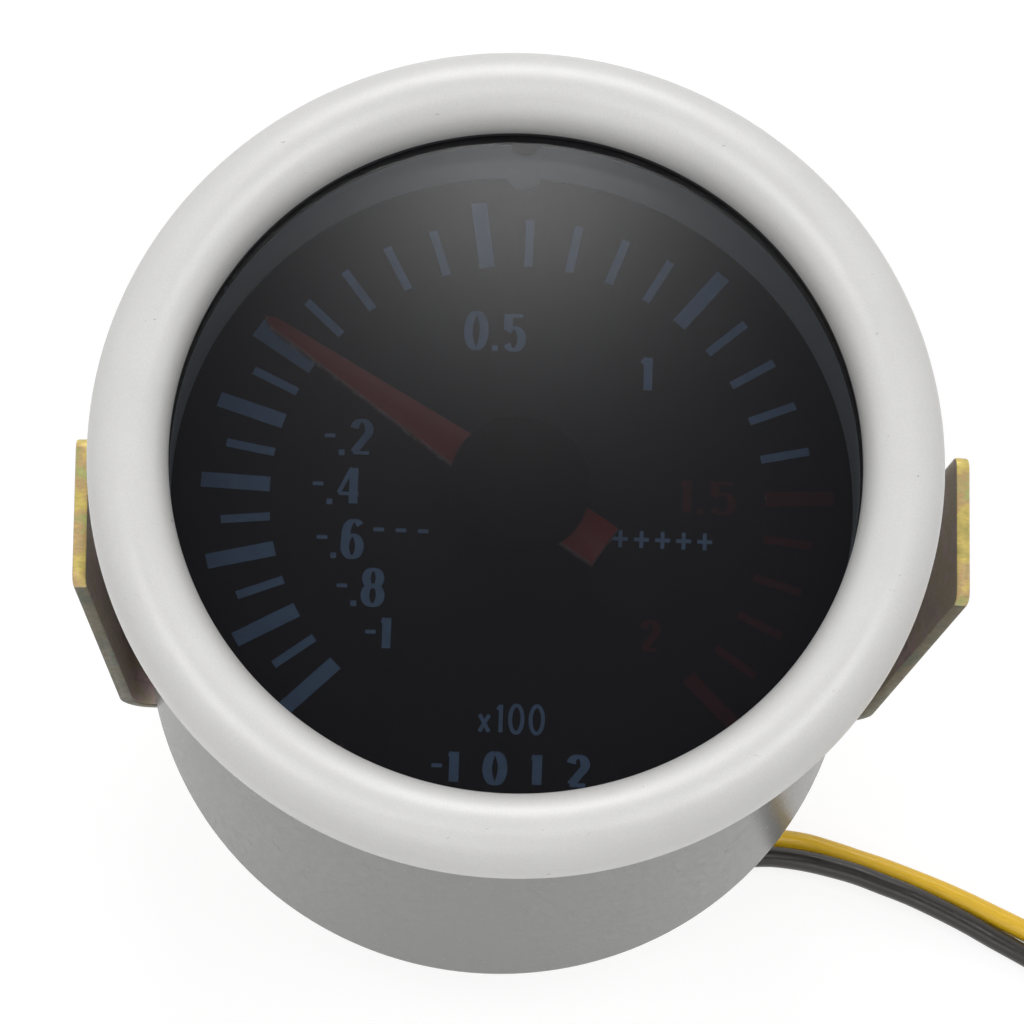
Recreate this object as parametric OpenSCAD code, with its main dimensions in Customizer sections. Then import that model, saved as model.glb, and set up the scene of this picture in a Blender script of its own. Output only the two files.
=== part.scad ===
// Mechanical boost gauge with an illuminated dial, lying face up on its rear fittings.
// Z is the axis of the gauge, Y is the dial's up, and Z = 0 is the surface it stands on.

/* [Case] */
// Outside diameter of the drawn case
case_d = 52; // [50:0.5:54]
// Wall and floor of the case
case_wall = 0.8; // [0.6:0.1:1]
// Case from its rear face to the widest plane of the bezel
case_len = 45.4; // [44:0.2:52]
// Rounding of the case's rear edge
case_edge_r = 1.5; // [1:0.25:2]
// How far the studs, the port and the lamp holder reach behind the case
rear_reach = 14; // [13.5:0.5:17]

/* [Bezel] */
// How much wider than the case the bezel is, on each side
bezel_lip = 4; // [3.8:0.1:5]
// Width of the rounded nose, from the window to the outer edge
nose_w = 5.7; // [5.6:0.1:6.2]
// Thickness of the bezel's sheet
bezel_wall = 0.8; // [0.6:0.05:0.9]
// Height of the straight skirt behind the nose
skirt_h = 1.4; // [1.4:0.1:2]

/* [Window and dial] */
// Thickness of the smoked lens
lens_t = 1.8; // [1.2:0.1:2.2]
// Thickness of the gasket between the lens and the bezel
gasket_t = 0.4; // [0.3:0.1:0.6]
// Wall of the light ring
ring_wall = 0.8; // [0.6:0.1:1.2]
// Height of the light ring, from the dial to the lens
ring_h = 7.2; // [7:0.1:8]
// Radius of the light ring's locating rib
rib_r = 1.15; // [0.9:0.05:1.3]
// Thickness of the dial plate
dial_t = 0.8; // [0.5:0.1:1]
// How far the movement stands to the right of the case's axis
movement_x = 0.4; // [-0.5:0.05:0.5]

/* [Pointer] */
// Pointer from the axis to its tip
pointer_l = 22; // [18:0.5:23]
// Width of the pointer where it leaves the cap
pointer_w = 2.6; // [2:0.1:3.4]
// Thickness of the pointer
pointer_t = 1.1; // [0.8:0.1:1.3]
// Radius of the black cap over the pointer's hub
cap_r = 5; // [4.2:0.1:5.6]
// Angle of the pointer at zero pressure, counted from the X axis
zero_deg = 147; // [140:1:150]

/* [Bracket and studs] */
// Thickness of the bracket's strip
strip_t = 1; // [0.9:0.1:1.5]
// Gap between the bracket's strip and the nut of the pressure port
strip_gap = 1.5; // [1.3:0.1:2.5]
// Length of each arm in front of the case's rear face
arm_reach = 31.4; // [28:0.2:34]
// How far the arms lean out at their ends, the mean of the two
arm_lean = 3.95; // [2:0.05:5]
// How much further the right arm leans than the left, as the strip was bent
arm_skew = 1; // [0:0.05:1.2]
// Gap between the case's side and the foot of an arm
side_gap = 1.1; // [1:0.1:2]
// Inside radius of the bracket's bends
bend_r = 1.5; // [1:0.25:2]
// Turn of the bracket about the case, within the slack of its holes
bracket_turn = 1.2; // [-1.5:0.1:1.5]
// Radius of a stud
stud_r = 2; // [1.75:0.05:2.1]
// Width of a stud's nut across its flats
nut_af = 7; // [6.5:0.1:7.5]
// Height of a stud's nut
nut_h = 3.2; // [2.4:0.1:3.4]
// Thickness of a lock washer
washer_t = 0.9; // [0.7:0.1:1.1]

/* [Pressure port] */
// Radius of the port's threaded stem
stem_r = 4; // [3.5:0.1:4.4]
// Radius of the bore through the port
port_bore_r = 1.1; // [0.8:0.05:1.3]
// Width of the stem nut across its flats
stem_nut_af = 12; // [11:0.25:12.5]
// Height of the stem nut
stem_nut_h = 3.5; // [2.5:0.1:3.8]
// Radius of the hose barb between its ridges
barb_r = 2; // [1.8:0.05:2.2]
// Height of a ridge on the hose barb
ridge_h = 0.6; // [0.4:0.05:0.8]

/* [Lamp] */
// Radius of the lamp holder where it passes through the case
holder_r = 5; // [4.6:0.1:5]
// Radius of the glass bulb
bulb_r = 2.5; // [2:0.1:2.7]
// Length of the glass bulb
bulb_l = 12.5; // [10:0.5:13]

/* [Movement] */
// Radial thickness of the Bourdon tube
tube_t = 1.8; // [1.4:0.1:2]
// Thickness of the Bourdon tube's wall
tube_wall = 0.3; // [0.2:0.05:0.35]
// Thickness of the movement's plates
plate_t = 1; // [0.8:0.1:1.1]

/* [Wires] */
// Outside diameter of a lamp wire
wire_d = 1.6; // [1.4:0.05:1.6]

/* [Hidden] */
$fn = 96;

// Running gap between a shaft and its hole, gap between fitted pieces, and overrun of a cut
run_gap = 0.05;
fit_gap = 0.1;
cut = 1;

// Heights of the case and the bezel
case_r = case_d / 2;
bore_r = case_r - case_wall;
z_case = rear_reach;
z_floor = z_case + case_wall;
z_wide = z_case + case_len;
flange_t = 0.7;
bezel_r = case_r + bezel_lip;
window_r = bezel_r - nose_w;
nose_r = nose_w / 2;
roll_t = skirt_h - flange_t - fit_gap;
skirt_edge_r = 0.4;
flange_r = bezel_r - bezel_wall - fit_gap;

// Heights of what the bezel clamps, from the front to the back
lip_drop = 0.6;
z_lip = z_wide - lip_drop;
lens_r = bore_r - 2 * fit_gap;
lens_edge = 0.25;
z_lens = z_lip - gasket_t - lens_t;
z_dial_top = z_lens - ring_h;
z_dial = z_dial_top - dial_t;
ring_in_r = lens_r - ring_wall;
rib_out = 0.4;

// Inner housing
housing_wall = 1.5;
housing_floor = 1.5;
housing_in_r = lens_r - housing_wall;

// Places of the studs, the port and the lamp, as shares of the case's radius
stud_share = 6 / 13;
port_share = 0.5;
lamp_shares = [0.327, -0.4615];

// Studs
stud_x = stud_share * case_r;
stud_head_r = 2 * stud_r;
stud_head_t = 1;
hole_slack = 0.3;

// Pressure socket
port_y = port_share * case_r;
socket_flange_r = 7;
socket_flange_t = 1.5;
stem_washer_t = 1;
stem_tail = 1;
barb_tip_l = 1.2;
ridges = 3;
ridge_share = 0.8;
block_w = 9;
block_back = 4.5;

// Heights in the movement, as shares of the depth from the case's rear face to the dial
depth = z_dial - z_case;
lift_share = 0.405;
tube_share = 0.173;
gap_share = 0.231;

// Bourdon tube and its end in the socket's block
tube_side_gap = 2;
tube_r = housing_in_r - tube_side_gap - tube_t / 2;
tube_cover = 0.6;
block_front = tube_r + tube_t / 2 + tube_cover;
z_tube = z_case + lift_share * depth;
tube_h = tube_share * depth;
block_margin = 1.5;
z_block = z_tube - block_margin;
z_plate = z_tube + tube_h + block_margin;
seat_deg = 10;
cross_bore_r = 0.9;

// Gears: the module as a share of the tube's radius, and the teeth as shares of the module
module_share = 0.014563;
gear_module = module_share * tube_r;
pinion_teeth = 10;
sector_teeth = 80;
pressure_deg = 25;
addendum_share = 0.8;
dedendum_share = 1.1;
backlash = 0.06;
pinion_pitch_r = gear_module * pinion_teeth / 2;
sector_pitch_r = gear_module * sector_teeth / 2;
centres = pinion_pitch_r + sector_pitch_r;

// Shafts, pillars, gears and hairspring, as shares of the module
arbor_r = 2.5 * gear_module;
pillar_r = 5 * gear_module;
hub_r = 6.33 * gear_module;
band_w = 6.67 * gear_module;
spoke_w = 5.33 * gear_module;
strap_w = 16.7 * gear_module;
lever_l = 16.667 * gear_module;
collet_r = 4.5 * gear_module;
spring_stud_r = 2 * gear_module;
spring_stud_at = 18.3 * gear_module;
first_tooth = -7;
last_tooth = 4;
flank_steps = 4;
spoke_inset = 1.5;

// Places of the linkage, drawn with the sector below the axis and then turned
linkage_turn = -46;
pivot_p = [0, -centres];
lever_p = [-lever_l, -centres];
tip_p = [-lever_l, -sqrt(tube_r * tube_r - lever_l * lever_l)];
tip_deg = linkage_turn + atan2(tip_p[1], tip_p[0]);
pillar_shares = [[0.815, -0.593], [-0.815, -0.444], [0, 0.63]];
pillars_p = [for (s = pillar_shares) s * centres];
sector_t = 1;
sector_lift = 3;
z_sector = z_plate + plate_t + sector_lift;
link_t = 0.8;
link_w = 2;
z_link = z_sector + sector_t + run_gap + fit_gap;
rivet_r = 0.4;
rivet_head_r = 0.75;
rivet_head_t = 0.3;
shoulder_t = 1.4;
pinion_over = 0.8;
z_upper = z_plate + plate_t + gap_share * depth;
hub_share = 0.6;
strap_steps = 12;
lower_r = tube_r - tube_t / 2 - tube_side_gap;
bearing_blind = 0.2;
post_r = 0.9;

// Hairspring
collet_h = 1;
z_collet = z_sector + sector_t + pinion_over + fit_gap;
spring_h = 0.6;
spring_t = 0.15;
spring_turns = 4;
spring_steps = 24;

// Screws
screw_r = 0.8;
screw_head_r = 1.4;
screw_head_t = 0.8;
screw_len = 3;
slot_w = 0.35;
slot_depth = 0.35;
block_screw_x = 2.6;

// Pointer
pointer_lift = 2.3;
z_pointer = z_dial_top + pointer_lift;
hub_in_r = 3;
tail_to = 7.4;
tail_w = 3.2;
tip_w = 0.8;
cap_h = 2;
cap_edge = 1.3;
spindle_top = 0.6;
dial_hole_r = 2.2;

// Bracket
strip_w = 2 * (port_y - stem_nut_af / 2 - strip_gap);
end_round_r = 0.9;
round_steps = 6;
bend_steps = 10;
arm_foot = case_r + side_gap + strip_t;
bend_x = arm_foot - bend_r - strip_t;
washer_over = 0.6;
washer_r = nut_af / 2 + washer_over;
washer_split = 0.7;

// Lamp holder
lamp_p = case_r * lamp_shares;
skirt_r = 5.5;
skirt_bore_r = 4.2;
skirt_bore_l = 9;
holder_flange_r = 6;
grips = 10;
grip_r = 0.5;
grip_out = 0.1;
holder_flange_t = 1;
seal_t = 0.8;
holder_in_l = 8;
socket_l = 6;
socket_gap = 0.2;
contact_t = 0.3;
contact_w = 1.6;
contact_l = 9;
grommet_out = 1;
grommet_in = 1.8;
grommet_w = 3.8;
grommet_h = 2.8;
grommet_z = 0.6;

// Wires: each route's points, counted from the grommet's mouth, and the coils at their ends
wire_r = wire_d / 2;
wire_exit = [lamp_p[0] + skirt_r + grommet_out, lamp_p[1], 0];
yellow_way = [
    [0, 0.8, 2], [2, 0.8, 2], [4, 0.9, 1.5], [6.5, 1, 1], [9, 0.8, 0.8], [11, 0.3, 0.8],
    [13, -0.3, 0.8], [15, -0.9, 0.8], [17, -1.6, 0.8], [19.2, -2.4, 0.8], [21.4, -3.3, 0.8],
    [23.6, -4.3, 0.8], [25.8, -5.3, 0.8], [28, -6.4, 0.9], [30.4, -7.5, 1.3],
    [33, -8.4, 2], [36, -9, 2.7], [39, -9.2, 3], [41, -9.2, 3]];
black_way = [
    [0, -0.9, 2], [2, -0.9, 2], [4, -0.8, 1.9], [6.5, -0.6, 1.8], [9, -0.8, 1.7],
    [11, -1.2, 1.75], [13, -1.7, 1.75], [15, -2.4, 1.75], [17, -3.1, 1.7], [19.2, -4, 1.5],
    [21.4, -5, 1.3], [23.6, -6.1, 1], [25.8, -7.2, 0.85], [28, -8.4, 0.9], [30.4, -9.5, 1],
    [33, -10.4, 1.15], [36, -10.85, 1.3], [39, -10.9, 1.3], [41, -10.9, 1.3]];
yellow_route = [for (p = yellow_way) wire_exit + p];
black_route = [for (p = black_way) wire_exit + p];
wire_mid_y = (yellow_route[0][1] + black_route[0][1]) / 2;
route_sides = 8;
coil_sides = 6;
coil_r = 12;
coil_pitch = 2.15;
coil_turns = 2.6;
coil_rings = 24;
coil_lead = 1.6;
bare_r = 0.45;
bare_deg = 36;
tie_t = 0.3;
tie_w = 2.2;
tie_gap = 0.1;
tie_slack = 0.25;
tie_from_turn = 0.2;
tie_to_turn = 2.25;

// Shares by which a dome, a chamfer or a window follows the size that carries it
chamfer_share = 0.12;
window_share = 0.2;

module profile(r1, r2, z1, z2) {
    translate([r1, z1]) square([r2 - r1, z2 - z1]);
}

module tube(r1, r2, z1, z2) {
    rotate_extrude() profile(r1, r2, z1, z2);
}

module rod(p, r, z1, z2) {
    translate([p[0], p[1], z1]) cylinder(r = r, h = z2 - z1);
}

function arc(c, r, from, to, steps) = [for (i = [0 : steps])
    let (a = from + (to - from) * i / steps) c + r * [cos(a), sin(a)]];

module strap(a, b, w) {
    t = atan2(b[1] - a[1], b[0] - a[0]);
    polygon(concat(arc(b, w / 2, t - 90, t + 90, strap_steps),
        arc(a, w / 2, t + 90, t + 270, strap_steps)));
}

module hex_nut(af, h, hole) {
    r = af / 2 / cos(30);
    difference() {
        intersection() {
            cylinder(r = r, h = h, $fn = 6);
            rotate_extrude() polygon([
                [0, 0], [r * (1 - chamfer_share), 0], [r, r * chamfer_share],
                [r, h - r * chamfer_share], [r * (1 - chamfer_share), h], [0, h]]);
        }
        translate([0, 0, -cut]) cylinder(r = hole, h = h + 2 * cut);
    }
}

// Case and bezel
module case_profile() {
    difference() {
        profile(0, case_r, z_case, z_wide - fit_gap);
        profile(-cut, bore_r, z_floor, z_wide + cut);
        translate([case_r - case_edge_r, z_case]) difference() {
            translate([0, -cut]) square([case_edge_r + cut, case_edge_r + cut]);
            translate([0, case_edge_r]) circle(r = case_edge_r);
        }
    }
    profile(bore_r, flange_r, z_wide - fit_gap - flange_t, z_wide - fit_gap);
}

// Moves a piece of the movement to the movement's own axis
module off_axis() translate([movement_x, 0, 0]) children();

module case_can() {
    color("darkgray") difference() {
        rotate_extrude() case_profile();
        for (s = [-1, 1]) rod([s * stud_x, 0], stud_r + run_gap, z_case - cut, z_floor + cut);
        rod([movement_x, port_y], stem_r + run_gap, z_case - cut, z_floor + cut);
        rod(lamp_p, holder_r + run_gap, z_case - cut, z_floor + cut);
    }
}

module bezel_profile() {
    intersection() {
        translate([bezel_r - nose_r, z_wide]) difference() {
            circle(r = nose_r);
            circle(r = nose_r - bezel_wall);
        }
        profile(0, bezel_r, z_wide, z_wide + nose_w);
    }
    difference() {
        union() {
            profile(bezel_r - bezel_wall, bezel_r, z_wide - skirt_h, z_wide);
            profile(case_r + fit_gap, bezel_r, z_wide - skirt_h, z_wide - skirt_h + roll_t);
        }
        translate([bezel_r - skirt_edge_r, z_wide - skirt_h]) difference() {
            translate([0, -cut]) square([skirt_edge_r + cut, skirt_edge_r + cut]);
            translate([0, skirt_edge_r]) circle(r = skirt_edge_r);
        }
    }
    profile(window_r, window_r + bezel_wall, z_lip, z_wide);
}

module bezel() {
    color("gainsboro") rotate_extrude($fn = 128) bezel_profile();
}

module lens_gasket() {
    color("black") tube(window_r, lens_r, z_lip - gasket_t, z_lip);
}

module lens() {
    color([0.08, 0.08, 0.1, 0.6]) rotate_extrude() polygon([
        [0, z_lens], [lens_r - lens_edge, z_lens], [lens_r, z_lens + lens_edge],
        [lens_r, z_lens + lens_t - lens_edge], [lens_r - lens_edge, z_lens + lens_t],
        [0, z_lens + lens_t]]);
}

module light_ring() {
    color("lightsteelblue") {
        tube(ring_in_r, lens_r, z_dial_top, z_lens);
        intersection() {
            rod([0, ring_in_r + rib_out], rib_r, z_dial, z_lens);
            tube(0, ring_in_r + ring_wall / 2, z_dial, z_lens);
        }
    }
}

module dial_plate() {
    color([0.05, 0.06, 0.08]) difference() {
        tube(0, lens_r, z_dial, z_dial_top);
        rod([movement_x, 0], dial_hole_r, z_dial - cut, z_dial_top + cut);
        rod([0, ring_in_r + rib_out], rib_r + fit_gap, z_dial - cut, z_dial_top + cut);
    }
}

module inner_housing() {
    color("white") difference() {
        union() {
            tube(housing_in_r, lens_r, z_floor, z_dial);
            tube(0, lens_r, z_floor, z_floor + housing_floor);
        }
        for (s = [-1, 1]) rod([s * stud_x, 0], stud_head_r + fit_gap, z_floor - cut,
            z_floor + housing_floor + cut);
        rod([movement_x, port_y], socket_flange_r + fit_gap, z_floor - cut,
            z_floor + housing_floor + cut);
        rod(lamp_p, holder_r + fit_gap, z_floor - cut, z_floor + housing_floor + cut);
        rod([0, ring_in_r + rib_out], rib_r + fit_gap, z_dial - cut, z_dial + cut);
    }
}

// Pressure port and Bourdon tube
module barb() {
    l = z_case - stem_washer_t - stem_nut_h - stem_tail;
    step = (l - barb_tip_l) / (ridges + 1);
    tube(0, barb_r, 0, l);
    for (i = [0 : ridges - 1]) translate([0, 0, barb_tip_l / 2 + i * step])
        cylinder(r1 = barb_r, r2 = barb_r + ridge_h, h = ridge_share * step);
}

module pressure_socket() {
    z_stem = z_case - stem_washer_t - stem_nut_h - stem_tail;
    z_cross = z_tube + tube_h / 2;
    color("goldenrod") off_axis() difference() {
        union() {
            translate([0, port_y, 0]) barb();
            rod([0, port_y], stem_r, z_stem, z_block);
            rod([0, port_y], socket_flange_r, z_floor, z_floor + socket_flange_t);
            translate([-block_w / 2, port_y - block_back, z_block])
                cube([block_w, block_front - port_y + block_back, z_plate - z_block]);
        }
        rod([0, port_y], port_bore_r, -cut, z_cross);
        translate([0, port_y, z_cross]) rotate([-90, 0, 0])
            cylinder(r = cross_bore_r, h = tube_r - port_y);
        rotate([0, 0, 90 - 2 * seat_deg]) rotate_extrude(angle = 2 * seat_deg)
            profile(tube_r - tube_t / 2 - run_gap, tube_r + tube_t / 2 + run_gap,
                z_tube - run_gap, z_tube + tube_h + run_gap);
        for (s = [-1, 1]) rod([s * block_screw_x, port_y], screw_r + run_gap,
            z_plate + plate_t - screw_len - fit_gap, z_plate + cut);
    }
}

module stem_washer() {
    color("dimgray") off_axis() translate([0, port_y, 0])
        tube(stem_r + fit_gap, stem_nut_af / 2, z_case - stem_washer_t, z_case);
}

module stem_nut() {
    color("silver") off_axis() translate([0, port_y, z_case - stem_washer_t - stem_nut_h])
        hex_nut(stem_nut_af, stem_nut_h, stem_r + run_gap);
}

module stadium(w, h) {
    translate([-w / 2, w / 2]) square([w, h - w]);
    translate([0, w / 2]) circle(r = w / 2, $fn = 32);
    translate([0, h - w / 2]) circle(r = w / 2, $fn = 32);
}

module bourdon_tube() {
    tip = tube_r * [cos(tip_deg), sin(tip_deg)];
    cap_deg = 5;
    color("peru") off_axis() {
        difference() {
            rotate([0, 0, tip_deg]) rotate_extrude(angle = 90 - tip_deg)
                translate([tube_r, z_tube]) stadium(tube_t, tube_h);
            rotate([0, 0, tip_deg + cap_deg / 2]) rotate_extrude(angle = 90 - tip_deg)
                translate([tube_r, z_tube + tube_wall])
                stadium(tube_t - 2 * tube_wall, tube_h - 2 * tube_wall);
        }
        rotate([0, 0, tip_deg - cap_deg]) rotate_extrude(angle = 2 * cap_deg)
            profile(tube_r - tube_t / 2 - tube_wall, tube_r + tube_t / 2 + tube_wall,
                z_tube - tube_wall, z_tube + tube_h + tube_wall);
        rod(tip, post_r, z_tube + tube_h, z_link - run_gap);
        rod(tip, rivet_r, z_tube + tube_h, z_link + link_t + rivet_head_t);
    }
}

// Movement
module turned() {
    rotate([0, 0, linkage_turn]) children();
}

module lower_plate() {
    color("gold") off_axis() difference() {
        tube(0, lower_r, z_plate, z_plate + plate_t);
        turned() for (p = [[0, 0], pivot_p])
            rod(p, arbor_r + run_gap, z_plate - cut, z_plate + plate_t + cut);
        turned() for (p = pillars_p) rod(p, screw_r + run_gap, z_plate - cut,
            z_plate + plate_t + cut);
        for (s = [-1, 1]) rod([s * block_screw_x, port_y], screw_r + run_gap,
            z_plate - cut, z_plate + plate_t + cut);
        rotate([0, 0, 180]) rod([lower_r / 2, 0], lower_r * window_share,
            z_plate - cut, z_plate + plate_t + cut);
    }
}

module upper_plate() {
    color("gold") off_axis() turned() translate([0, 0, z_upper]) difference() {
        linear_extrude(plate_t) union() {
            circle(r = hub_share * strap_w);
            for (p = pillars_p) strap([0, 0], p, strap_w);
            for (p = [pillars_p[0], pillars_p[1]]) strap(pivot_p, p, strap_w);
        }
        for (p = [[0, 0], pivot_p]) rod(p, arbor_r + run_gap, -cut, plate_t + cut);
        for (p = pillars_p) rod(p, screw_r + run_gap, -cut, plate_t + cut);
    }
}

module pillars() {
    color("gold") off_axis() turned() for (p = pillars_p) difference() {
        rod(p, pillar_r, z_plate + plate_t, z_upper);
        rod(p, screw_r + run_gap, z_upper - screw_len, z_upper + cut);
        rod(p, screw_r + run_gap, z_plate, z_plate + plate_t + screw_len);
    }
}

module screw(l) {
    difference() {
        cylinder(r = screw_head_r, h = screw_head_t);
        translate([-screw_head_r - cut, -slot_w / 2, screw_head_t - slot_depth])
            cube([2 * screw_head_r + 2 * cut, slot_w, slot_depth + cut]);
    }
    translate([0, 0, -l]) cylinder(r = screw_r, h = l);
}

module plate_screws() {
    color("silver") off_axis() {
        turned() for (p = pillars_p) {
            translate([p[0], p[1], z_upper + plate_t]) screw(screw_len);
            translate([p[0], p[1], z_plate]) mirror([0, 0, 1]) screw(screw_len);
        }
        for (s = [-1, 1]) translate([s * block_screw_x, port_y, z_plate + plate_t])
            screw(screw_len);
    }
}

// A tooth flank is an involute from the root to the tip; inv is in degrees
function inv(a) = tan(a) * 180 / PI - a;
function flank_deg(rb, r) = r <= rb ? 0 : inv(acos(rb / r));
function half_deg(pitch_r, teeth, r) =
    let (rb = pitch_r * cos(pressure_deg))
    90 / teeth - backlash / 2 / pitch_r * 180 / PI + flank_deg(rb, pitch_r) - flank_deg(rb, r);
function tooth(pitch_r, teeth, at) =
    let (tip = pitch_r + addendum_share * gear_module,
        root = pitch_r - dedendum_share * gear_module)
    [for (side = [1, -1]) for (i = [0 : flank_steps])
        let (r = side > 0 ? root + (tip - root) * i / flank_steps
                : tip - (tip - root) * i / flank_steps,
            a = at - side * half_deg(pitch_r, teeth, r))
        r * [cos(a), sin(a)]];

module sector_gear() {
    root = sector_pitch_r - dedendum_share * gear_module;
    step = 360 / sector_teeth;
    outer = [for (k = [first_tooth : last_tooth]) each tooth(sector_pitch_r, sector_teeth,
        90 + k * step)];
    inner = [for (k = [last_tooth : -1 : first_tooth])
        (root - band_w) * [cos(90 + k * step), sin(90 + k * step)]];
    color("gold") off_axis() turned() translate([pivot_p[0], pivot_p[1], z_sector]) difference() {
        union() {
            linear_extrude(sector_t) polygon(concat(outer, inner));
            for (k = [first_tooth + spoke_inset, last_tooth - spoke_inset]) linear_extrude(sector_t)
                strap([0, 0], (root - band_w / 2) * [cos(90 + k * step), sin(90 + k * step)],
                    spoke_w);
            cylinder(r = hub_r, h = sector_t);
            linear_extrude(sector_t) strap([0, 0], [-lever_l, 0], 2 * rivet_head_r);
        }
        rod([0, 0], arbor_r + fit_gap / 2, -cut, sector_t + cut);
        rod([-lever_l, 0], rivet_r + run_gap / 2, -cut, sector_t + cut);
    }
}

module sector_arbor() {
    color("silver") off_axis() turned() {
        rod(pivot_p, arbor_r, z_plate + bearing_blind, z_upper + plate_t - bearing_blind);
        translate([pivot_p[0], pivot_p[1], 0])
            tube(0, hub_r, z_sector - shoulder_t, z_sector);
    }
}

module link_rivet() {
    color("silver") off_axis() turned() {
        rod(lever_p, rivet_r, z_sector - rivet_head_t, z_link + link_t + rivet_head_t);
        rod(lever_p, rivet_head_r, z_sector - rivet_head_t, z_sector);
        rod(lever_p, rivet_head_r, z_link + link_t + run_gap,
            z_link + link_t + run_gap + rivet_head_t);
    }
}

module link() {
    color("gold") off_axis() turned() translate([0, 0, z_link]) difference() {
        linear_extrude(link_t) strap(lever_p, tip_p, link_w);
        rod(lever_p, rivet_r + run_gap, -cut, link_t + cut);
        rod(tip_p, rivet_r + run_gap, -cut, link_t + cut);
    }
}

module spindle() {
    color("silver") off_axis() rod([0, 0], arbor_r, z_plate + bearing_blind,
        z_pointer + pointer_t + spindle_top);
}

module pinion() {
    step = 360 / pinion_teeth;
    color("gold") off_axis() turned() translate([0, 0, z_sector - pinion_over]) difference() {
        linear_extrude(sector_t + 2 * pinion_over) polygon([for (k = [0 : pinion_teeth - 1])
            each tooth(pinion_pitch_r, pinion_teeth, -90 + (k + 0.5) * step)]);
        rod([0, 0], arbor_r + run_gap / 2, -cut, sector_t + 2 * pinion_over + cut);
    }
}

module spring_collet() {
    color("gold") off_axis() tube(arbor_r + run_gap / 2, collet_r, z_collet, z_collet + collet_h);
}

module hairspring() {
    r1 = collet_r + run_gap + spring_t / 2;
    r2 = spring_stud_at - spring_stud_r - run_gap - spring_t / 2;
    n = spring_turns * spring_steps;
    at = [for (i = [0 : n]) [r1 + (r2 - r1) * i / n, 90 + 360 * (i - n) / spring_steps]];
    outer = [for (p = at) (p[0] + spring_t / 2) * [cos(p[1]), sin(p[1])]];
    inner = [for (i = [n : -1 : 0]) (at[i][0] - spring_t / 2) * [cos(at[i][1]), sin(at[i][1])]];
    color("darkkhaki") off_axis() turned() translate([0, 0, z_collet + (collet_h - spring_h) / 2])
        linear_extrude(spring_h) polygon(concat(outer, inner));
}

module hairspring_stud() {
    color("gold") off_axis() turned() rod([0, spring_stud_at], spring_stud_r, z_collet, z_upper);
}

// Pointer
module pointer() {
    blade_deg = asin(pointer_w / 2 / hub_in_r);
    tail_deg = asin(tail_w / 2 / hub_in_r);
    color("crimson") off_axis() rotate([0, 0, zero_deg]) translate([0, 0, z_pointer]) difference() {
        linear_extrude(pointer_t) polygon(concat(
            [[pointer_l, 0], [pointer_l - tip_w, tip_w / 2], [cap_r, pointer_w / 2]],
            arc([0, 0], hub_in_r, blade_deg, 180 - tail_deg, strap_steps),
            [[-tail_to, tail_w / 2], [-tail_to, -tail_w / 2]],
            arc([0, 0], hub_in_r, 180 + tail_deg, 360 - blade_deg, strap_steps),
            [[cap_r, -pointer_w / 2], [pointer_l - tip_w, -tip_w / 2]]));
        rod([0, 0], arbor_r + run_gap / 2, -cut, pointer_t + cut);
    }
}

module pointer_cap() {
    z = z_pointer + pointer_t;
    color([0.03, 0.03, 0.03]) off_axis() difference() {
        rotate_extrude() intersection() {
            union() {
                profile(0, cap_r - cap_edge, z, z + cap_h);
                profile(0, cap_r, z, z + cap_h - cap_edge);
                translate([cap_r - cap_edge, z + cap_h - cap_edge]) circle(r = cap_edge);
            }
            profile(0, cap_r, z, z + cap_h);
        }
        rod([0, 0], arbor_r + run_gap / 2, z - cut, z + spindle_top + run_gap);
    }
}

// Studs, bracket and nuts
module studs() {
    color("silver") for (s = [-1, 1]) {
        rod([s * stud_x, 0], stud_r, 0, z_floor + stud_head_t / 2);
        rod([s * stud_x, 0], stud_head_r, z_floor, z_floor + stud_head_t);
    }
}

// One side of the strip's outline, from the middle of the base round the bend to the arm's end
function arm_deg(s) = atan((arm_lean + s * arm_skew / 2) / (arm_reach - bend_r));
function half_strip(s, r, z) =
    let (a = arm_deg(s), arm_l = (arm_reach - bend_r) / cos(a), c = [bend_x, z_case + bend_r])
    concat([[0, z]], arc(c, r, -90, -a, bend_steps),
        [c + r * [cos(a), -sin(a)] + arm_l * [sin(a), cos(a)]]);
function mirrored(p) = [for (i = [len(p) - 1 : -1 : 1]) [-p[i][0], p[i][1]]];
function reversed(p) = [for (i = [len(p) - 1 : -1 : 0]) p[i]];
function mirrored_back(p) = [for (i = [1 : len(p) - 1]) [-p[i][0], p[i][1]]];

module bracket() {
    top = z_case + arm_reach;
    outer = [for (s = [-1, 1]) half_strip(s, bend_r + strip_t, z_case - strip_t)];
    inner = [for (s = [-1, 1]) half_strip(s, bend_r, z_case)];
    color("khaki") difference() {
        rotate([0, 0, bracket_turn]) intersection() {
            rotate([90, 0, 0]) linear_extrude(strip_w, center = true)
                polygon(concat(mirrored(outer[0]), outer[1], reversed(inner[1]),
                    mirrored_back(inner[0])));
            rotate([90, 0, 90]) linear_extrude(4 * bezel_r, center = true) {
                polygon(concat([[-strip_w / 2, 0], [strip_w / 2, 0]],
                    arc([strip_w / 2 - end_round_r, top - end_round_r], end_round_r, 0, 90,
                        round_steps),
                    arc([end_round_r - strip_w / 2, top - end_round_r], end_round_r, 90, 180,
                        round_steps)));
            }
        }
        for (s = [-1, 1]) rod([s * stud_x, 0], stud_r + hole_slack, 0, z_case + cut);
    }
}

module lock_washers() {
    z = z_case - strip_t - washer_t;
    color("silver") for (s = [-1, 1]) translate([s * stud_x, 0, 0]) difference() {
        tube(stud_r + fit_gap, washer_r, z, z + washer_t);
        translate([0, -washer_split / 2, z - cut])
            cube([2 * washer_r, washer_split, washer_t + 2 * cut]);
    }
}

module nut(s) {
    color("khaki") translate([s * stud_x, 0, z_case - strip_t - washer_t - nut_h])
        hex_nut(nut_af, nut_h, stud_r + run_gap);
}

module nut_left() {
    nut(-1);
}

module nut_right() {
    nut(1);
}

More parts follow.
